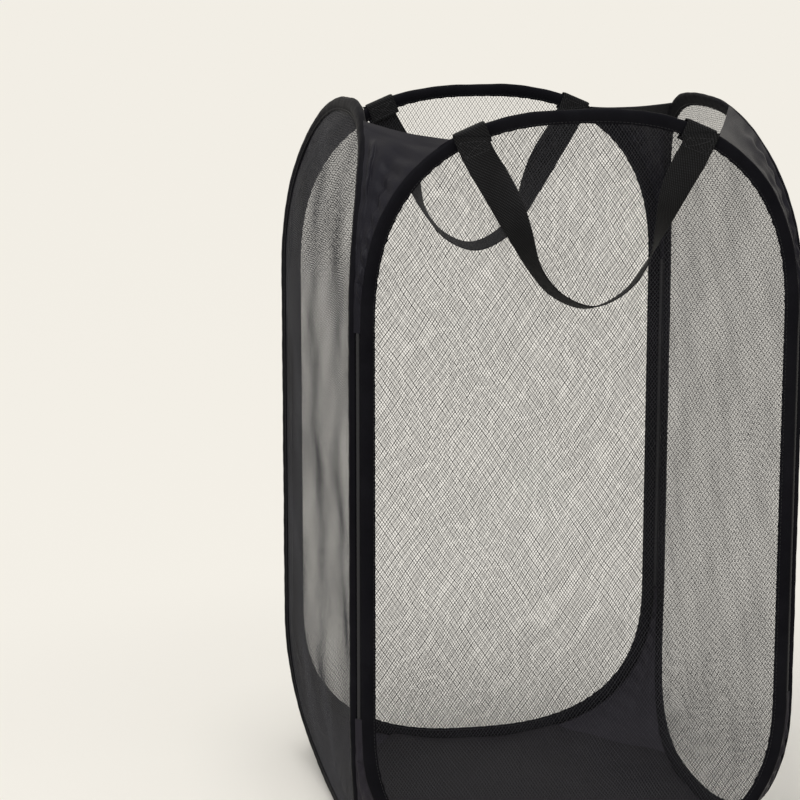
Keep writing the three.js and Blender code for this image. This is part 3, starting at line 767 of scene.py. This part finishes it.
FLOOR_THICKNESS = 0.0008
FLOOR_ROWS = 70
FLOOR_EDGE_STEPS = 61
CREASE_STEPS = 15
# The turned-up edge comes down over this share of the way in.
FLOOR_FALL = 0.28
# Dents and ripples: their heights, and radians to a metre along x and y with a phase.
DENT = 0.00055
DENT_WAVES = [(38, 21, 0.7), (-33, 27, 2.1)]
RIPPLE = 0.0006
RIPPLE_WAVE = (95, -60, 0)
# Distances from the middle at which they set in.
DENT_START = (0.015, 0.07)
RIPPLE_START = (0.05, 0.15)


def floor_edge(panel):
    shares = np.linspace(-CREASE_SHARE, CREASE_SHARE, FLOOR_EDGE_STEPS)
    s = [HOOP.length_at(False, turn_at(abs(share), False), 1 if share >= 0 else -1) for share in shares]
    return along_hoop(panel, np.array(s), SEWN_INSET, MIDDLE)


def crease_half(near, far):
    """The half of a corner's crease next to a panel, from its middle to that panel's hoop."""
    t = np.linspace(0.5, 0, CREASE_STEPS)[:-1, None]
    line = near * (1 - t) + far * t
    line[:, 2] -= BOTTOM_SAG * np.sin(math.pi * t[:, 0])
    return line


def floor_grid(panel):
    """A part of the floor, in rows from its panel's edge to the hamper's middle."""
    index = ORDER.index(panel)
    before, after = ORDER[index - 1], ORDER[(index + 1) % 4]
    rim = floor_edge(panel)
    left = crease_half(rim[0], floor_edge(before)[-1])
    right = crease_half(rim[-1], floor_edge(after)[0])[::-1]
    rim = np.concatenate([left, rim, right])
    t = np.linspace(0, 1, FLOOR_ROWS)[:, None]
    grid = rim[None] * (1 - t[..., None])
    fall = 1 - smooth_step(t, 0.0, FLOOR_FALL)
    x, y = grid[..., 0], grid[..., 1]
    out = np.hypot(x, y)
    first, second, ripple = [1 + np.sin(a * x + b * y + phase) for a, b, phase in (*DENT_WAVES, RIPPLE_WAVE)]
    dents = DENT * first * second + RIPPLE * ripple * smooth_step(out, *RIPPLE_START)
    grid[..., 2] = rim[None, :, 2] * fall + FLOOR_THICKNESS / 2 * (1 - fall)
    grid[..., 2] += dents * smooth_step(out, *DENT_START)
    return grid


def make_floor(panel):
    grid = floor_grid(panel)
    rows, width = FLOOR_ROWS - 1, grid.shape[1]
    points, faces = thick_sheet(grid[:-1], FLOOR_THICKNESS)
    under = rows * width
    last = under - width
    # The last row's rim gives way to faces that meet in the hamper's middle.
    top, bottom = len(points), len(points) + 1
    points = np.concatenate([points, [[0, 0, FLOOR_THICKNESS], [0, 0, 0]]])
    rim = {frozenset((c, c + 1, under + c, under + c + 1)) for c in range(last, last + width - 1)}
    faces = [tuple(face) for face in faces if frozenset(face.tolist()) not in rim]
    for c in range(last, last + width - 1):
        faces.append((c, top, c + 1))
        faces.append((under + c + 1, bottom, under + c))
    end = last + width - 1
    faces.append((last, under + last, bottom, top))
    faces.append((end, top, bottom, under + end))
    obj = piece(f"floor_cloth_{panel}", points, faces, FLOOR, points / MM, sharp=50)
    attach(obj, f"{panel}_panel")
    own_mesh(obj)
    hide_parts("bottom_panel")


# Handles: webbing over the hoop, sewn down on both faces, and the loop that swings from it.

STRAP_WIDTH = 0.025
STRAP_THICKNESS = 0.0012
STRAP_COLUMNS = 23
ACROSS = np.linspace(-STRAP_WIDTH / 2, STRAP_WIDTH / 2, STRAP_COLUMNS)
RIB = 0.0011
RIB_SHARE = 0.84
EDGE_START = 0.88
EDGE_THINNING = 0.45
HALF_SPAN = 0.090
DROP = 0.128
WRAP_GAP = 0.0005
SEWN_GAP = 0.0003
WRAP_RADIUS = 0.0019
WRAP_STEPS = 7
# A tab's two faces, down from the hoop's edge: where each starts, and its steps.
OUTER_REACH = 0.014
OUTER_STEPS = 12
INNER_START = 0.0018
INNER_STEPS = 13
# The loop's middle line on its right side, as shares of the half span and of the drop.
LINE_SHARES = [(1, 0), (0.92, 0.12), (0.74, 0.34), (0.61, 0.55), (0.49, 0.75), (0.29, 0.92), (0, 1)]
KNOT_STEPS = 40
SMOOTHINGS = 3
TWIST = 0.87 * QUARTER
TWIST_SHARES = (0.12, 0.72)
END_ROWS = 34
# Sewn boxes, in rows from the strap's end and columns from its edge.
TAB_BOX = (4.0, 22.0)
HANDLE_BOX = (7.0, 25.0)
SEW_MARGIN = 2.5
SEW_PITCH = 0.0026
SEW_SAMPLES = 60
SEW_LIFT = 0.46
SEW_STEP = 0.0003
SEWN_STITCH = (0.0023, 0.00026)


def ribbed(grid, run):
    """A webbing strap from a grid of its middle surface, with ribs across it and rolled edges."""
    rib = np.where(np.arange(len(run)) % 2 == 0, 1.0, RIB_SHARE)
    edge = 1 - EDGE_THINNING * smooth_step(np.abs(ACROSS) / (STRAP_WIDTH / 2), EDGE_START, 1.0)
    points, faces = thick_sheet(grid, STRAP_THICKNESS * rib[:, None] * edge)
    return points, faces, both_sides(ACROSS / MM, run[:, None] / MM)


def sew(name, grid, first_row, last_row, facing, body):
    """A box of stitches with a cross in it, between two rows of a strap, on its side that looks one way."""
    left, right = SEW_MARGIN, STRAP_COLUMNS - 1 - SEW_MARGIN
    box = [(first_row, left), (first_row, right), (last_row, right), (last_row, left), (first_row, left)]
    lines = list(zip(box[:-1], box[1:])) + [(box[0], box[2]), (box[1], box[3])]
    normal = grid_normals(grid)
    seams = []
    for (r0, c0), (r1, c1) in lines:
        t = np.linspace(0, 1, SEW_SAMPLES)
        r, c = r0 + (r1 - r0) * t, c0 + (c1 - c0) * t
        i, j = np.floor(r).astype(int), np.floor(c).astype(int)
        a, b = (r - i)[:, None], (c - j)[:, None]
        path, lift = [(g[i, j] * (1 - a) * (1 - b) + g[i + 1, j] * a * (1 - b) + g[i, j + 1] * (1 - a) * b
                       + g[i + 1, j + 1] * a * b) for g in (grid, normal)]
        lift = unit(lift) * np.sign(np.sum(lift * facing, -1, keepdims=True))
        path = path + lift * STRAP_THICKNESS * SEW_LIFT
        run = run_length(path)
        count = int(run[-1] / SEW_PITCH)
        at = (np.arange(count) + 0.5) / count * run[-1]
        centre, ahead, up = [np.stack([np.interp(at + shift, run, g[:, k]) for k in range(3)], -1)
                             for shift, g in ((0, path), (SEW_STEP, path), (0, lift))]
        axis = unit(ahead - centre)
        seams.append((centre, axis, unit(np.cross(axis, up))))
    stitches(name, body, seams, *SEWN_STITCH)


def tab_frame(side):
    """Where a handle's end meets the hoop's outline: point, tangent and inward normal."""
    s = HOOP.length_at(True, turn_at(HALF_SPAN / HALF, True), side)
    return HOOP.frame(s)


def make_tab(panel, side):
    point, tangent, normal = tab_frame(side)
    near = WRAP_GAP + STRAP_THICKNESS / 2
    inner_y = BAND_THICKNESS + near
    arcs = np.linspace(0, QUARTER, WRAP_STEPS)
    path = [(-near, OUTER_REACH - k * RIB) for k in range(OUTER_STEPS)]
    path += [(WRAP_RADIUS * (1 - math.cos(a)) - near, WRAP_RADIUS * (1 - math.sin(a)) - near) for a in arcs]
    path += [(inner_y - WRAP_RADIUS * (1 - math.sin(a)), WRAP_RADIUS * (1 - math.cos(a)) - near) for a in arcs]
    path += [(inner_y, INNER_START + k * RIB) for k in range(INNER_STEPS)]
    path = np.array(path)
    steps = run_length(path)
    run = np.linspace(0, steps[-1], int(steps[-1] / (RIB / 2)))
    y, down = np.interp(run, steps, path[:, 0]), np.interp(run, steps, path[:, 1])
    x = point[0] + tangent[0] * ACROSS + normal[0] * down[:, None]
    z = point[1] + tangent[1] * ACROSS + normal[1] * down[:, None]
    grid = place(panel, x, y[:, None], z)
    points, faces, cloth = ribbed(grid, run)
    where = "right" if side > 0 else "left"
    obj = piece(f"{panel}_{where}_webbing_tab", points, faces, WEBBING, cloth, sharp=60)
    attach(obj, f"{panel}_panel")
    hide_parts(f"{panel}_handle_{where}_tab")
    first, last = [len(run) - row for row in TAB_BOX[::-1]]
    sew(f"{panel}_{where}_tab_stitches", grid, first, last, -OUTWARD[panel], f"{panel}_panel")


def handle_line():
    """The strap's middle line across its panel, by even steps, with its tangents."""
    right = np.array([(a * HALF_SPAN, -d * DROP) for a, d in LINE_SHARES])
    knots = np.concatenate([right[:-1] * (-1, 1), right[::-1]])
    padded = np.concatenate([knots[:1], knots, knots[-1:]])
    points = []
    for i in range(1, len(padded) - 2):
        p0, p1, p2, p3 = padded[i - 1:i + 3]
        t = np.linspace(0, 1, KNOT_STEPS, endpoint=False)[:, None]
        v0, v1 = (p2 - p0) / 2, (p3 - p1) / 2
        points.append((2 * p1 - 2 * p2 + v0 + v1) * t ** 3 + (-3 * p1 + 3 * p2 - 2 * v0 - v1) * t ** 2
                      + v0 * t + p1)
    points = np.concatenate(points + [knots[-1:]])
    run = run_length(points)
    count = int(run[-1] / (RIB / 2)) // 2 * 2 + 1
    s = np.linspace(0, run[-1], count)
    line = np.stack([np.interp(s, run, points[:, k]) for k in (0, 1)], -1)
    for _ in range(SMOOTHINGS):
        line[1:-1] = (line[:-2] + 2 * line[1:-1] + line[2:]) / 4
    return s, line, unit(np.gradient(line, axis=0))


def make_handle(panel):
    point, _, normal = tab_frame(1)
    axis_y = -(WRAP_GAP + STRAP_THICKNESS + SEWN_GAP + STRAP_THICKNESS / 2)
    axis_z = point[1] + BAND_MIDDLE * normal[1]
    s, line, run = handle_line()
    level = np.zeros(len(run))
    twist = smooth_step(1 - np.abs(2 * s / s[-1] - 1), *TWIST_SHARES) * TWIST
    flat = np.stack([-run[:, 1], level, run[:, 0]], -1)
    out = np.array([0.0, -1.0, 0.0])
    wide = flat * np.cos(twist)[:, None] + out * np.sin(twist)[:, None]
    middle = np.stack([line[:, 0], axis_y - np.sin(twist) * STRAP_WIDTH / 2, axis_z + line[:, 1]], -1)
    grid = middle[:, None] + wide[:, None] * ACROSS[:, None]
    # Both ends are cut level along the hinge.
    forward = np.stack([run[:, 0], level, run[:, 1]], -1)
    for row, step in ((0, 1), (-1, -1)):
        slide = (axis_z - grid[row, :, 2]) / forward[row, 2]
        for k, share in enumerate(np.linspace(1, 0, END_ROWS)):
            grid[row + step * k] += forward[row] * (slide * share)[:, None]
    grid = place(panel, grid[..., 0], grid[..., 1], grid[..., 2])
    points, faces, cloth = ribbed(grid, s)
    obj = piece(f"{panel}_webbing_handle", points, faces, WEBBING, cloth, sharp=60)
    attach(obj, f"{panel}_handle")
    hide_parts(f"{panel}_handle")
    near, far = HANDLE_BOX
    for letter, first, last in (("a", near, far), ("b", len(s) - 1 - far, len(s) - 1 - near)):
        sew(f"{panel}_handle_stitches_{letter}", grid, first, last, OUTWARD[panel], f"{panel}_handle")


# Corner seams: a rolled edge of cloth whipped with thread.

SEAM_RADIUS = 0.00193
SEAM_SIDES = 14
SEAM_STEP = 0.0012
SEAM_TURN = 0.0048
SEAM_SWELL = 0.03
SEAM_WEAVE = 1.5
SEAM_OVERRUN = 0.004
SEAM_PANELS = {"front_right": "front", "rear_right": "back", "rear_left": "left", "front_left": "front"}


def make_seam(corner):
    x, y = hinge_of(corner)
    z = np.arange(SEAM_BOTTOM - SEAM_OVERRUN, SEAM_TOP + SEAM_OVERRUN, SEAM_STEP)[:, None]
    turn = np.linspace(0, TAU, SEAM_SIDES, endpoint=False)
    radius = SEAM_RADIUS * (1 + SEAM_SWELL * np.sin(turn + z * TAU / SEAM_TURN))
    points = np.stack(np.broadcast_arrays(x + radius * np.cos(turn), y + radius * np.sin(turn), z), -1)
    faces = grid_faces(len(z), SEAM_SIDES, close_columns=True)[:, ::-1].tolist()
    faces.append(range(SEAM_SIDES)[::-1])
    faces.append(range((len(z) - 1) * SEAM_SIDES, len(z) * SEAM_SIDES))
    obj = piece(f"{corner}_rolled_seam", points, faces, THREAD, cloth_place(turn * SEAM_WEAVE, z / MM))
    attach(obj, f"{SEAM_PANELS[corner]}_panel")
    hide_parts(f"{corner}_seam")


# The care label, bare, standing in the front panel's lower hem.

LABEL_WIDTH = 0.009
LABEL_LENGTH = 0.024
LABEL_THICKNESS = 0.00025
LABEL_ROWS = 31
LABEL_COLUMNS = 13
LABEL_PLACE = 0.068
LABEL_DEPTH = MIDDLE - 0.0011
LABEL_RISE = 0.0004
LABEL_CURL = 0.0009
LABEL_BOW = 0.0003


def make_label():
    s = HOOP.length_at(False, turn_at(LABEL_PLACE / HALF, False), -1)
    point, _, normal = HOOP.frame(s)
    foot = point + normal * BAND_WIDTH
    across = np.linspace(-LABEL_WIDTH / 2, LABEL_WIDTH / 2, LABEL_COLUMNS)[None, :]
    up = np.linspace(0, LABEL_LENGTH, LABEL_ROWS)[:, None]
    curl = LABEL_CURL * (up / LABEL_LENGTH) ** 2
    bow = LABEL_BOW * (1 - (2 * across / LABEL_WIDTH) ** 2)
    grid = place("front", foot[0] + across, LABEL_DEPTH - curl - bow, foot[1] + LABEL_RISE + up)
    points, faces = thick_sheet(grid, LABEL_THICKNESS)
    obj = piece("bare_care_label", points, faces, LABEL, sheet_cloth(grid), sharp=60)
    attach(obj, "front_panel")
    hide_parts("care_label")


for panel in PANELS:
    make_binding(panel)
    make_hem_stitches(panel)
    make_net(panel)
for corner in CORNERS:
    make_gusset(corner, True)
    make_gusset(corner, False)
    make_seam(corner)
for panel in PANELS:
    make_floor(panel)
for panel in ("front", "back"):
    for side in (1, -1):
        make_tab(panel, side)
    make_handle(panel)
make_label()


# Studio: a pale floor and surround, soft light.

BACKGROUND = (0.905, 0.871, 0.799)
WORLD_LIGHT = 0.38
LAMP_TARGET = (0, 0, 0.3)
STAGE_RADIUS = 60
STAGE_SIDES = 96
STAGE_LEVEL = -0.0004
# The floor's glow grows outward, so that the shadow stays.
GLOW_NEAR, GLOW_FAR = 0.08, 0.97
GLOW_START, GLOW_END = 0.28, 0.85


def seen_directly(owner):
    """1 for the rays that show the backdrop: from the camera, in gloss and through glass."""
    path = node(owner, "ShaderNodeLightPath")
    value = path.outputs["Is Camera Ray"]
    for ray in ("Is Glossy Ray", "Is Transmission Ray"):
        either = node(owner, "ShaderNodeMath", operation="MAXIMUM")
        link(owner, value, either.inputs[0])
        link(owner, path.outputs[ray], either.inputs[1])
        value = either.outputs[0]
    return value


def show_mixed(owner, output, share, lit, glowing):
    mix = node(owner, "ShaderNodeMixShader")
    link(owner, share, mix.inputs["Fac"])
    link(owner, lit.outputs[0], mix.inputs[1])
    link(owner, glowing.outputs[0], mix.inputs[2])
    link(owner, mix.outputs[0], node(owner, output).inputs["Surface"])


def stage_floor():
    mesh = bpy.data.meshes.new("studio_floor")
    turns = np.linspace(0, TAU, STAGE_SIDES, endpoint=False)
    rim = [(STAGE_RADIUS * math.cos(a), STAGE_RADIUS * math.sin(a), STAGE_LEVEL) for a in turns]
    mesh.from_pydata(rim, [], [tuple(range(STAGE_SIDES))])
    material = bpy.data.materials.new("studio floor")
    material.use_nodes = True
    material.node_tree.nodes.clear()
    geometry = node(material, "ShaderNodeNewGeometry")
    distance = node(material, "ShaderNodeVectorMath", operation="LENGTH")
    link(material, geometry.outputs["Position"], distance.inputs[0])
    glow = ranged(material, distance.outputs["Value"], GLOW_NEAR, GLOW_FAR, GLOW_START, GLOW_END, "SMOOTHSTEP")
    share = node(material, "ShaderNodeMath", operation="MULTIPLY")
    link(material, seen_directly(material), share.inputs[0])
    link(material, glow, share.inputs[1])
    show_mixed(material, "ShaderNodeOutputMaterial", share.outputs[0],
               node(material, "ShaderNodeBsdfDiffuse", Color=(*BACKGROUND, 1)),
               node(material, "ShaderNodeEmission", Color=(*BACKGROUND, 1)))
    mesh.materials.append(material)
    floor = bpy.data.objects.new("studio_floor", mesh)
    bpy.context.collection.objects.link(floor)


def studio_world():
    world = bpy.data.worlds.new("studio")
    bpy.context.scene.world = world
    world.use_nodes = True
    world.node_tree.nodes.clear()
    show_mixed(world, "ShaderNodeOutputWorld", seen_directly(world),
               node(world, "ShaderNodeBackground", Color=(1, 1, 1, 1), Strength=WORLD_LIGHT),
               node(world, "ShaderNodeBackground", Color=(*BACKGROUND, 1)))


def lamp(name, location, size, power):
    data = bpy.data.lights.new(name, "AREA")
    data.shape = "DISK"
    data.size = size
    data.energy = power
    obj = bpy.data.objects.new(name, data)
    obj.location = location
    aim = Vector(LAMP_TARGET) - Vector(location)
    obj.rotation_euler = aim.to_track_quat("-Z", "Y").to_euler()
    bpy.context.collection.objects.link(obj)


stage_floor()
studio_world()
lamp("key", (-1.2, -2.7, 2.5), size=0.9, power=52)
lamp("fill", (-2.6, 0.4, 2.2), size=2.0, power=6)
lamp("top", (-0.3, -0.3, 3.2), size=1.4, power=40)
bpy.context.scene.view_settings.view_transform = "Standard"
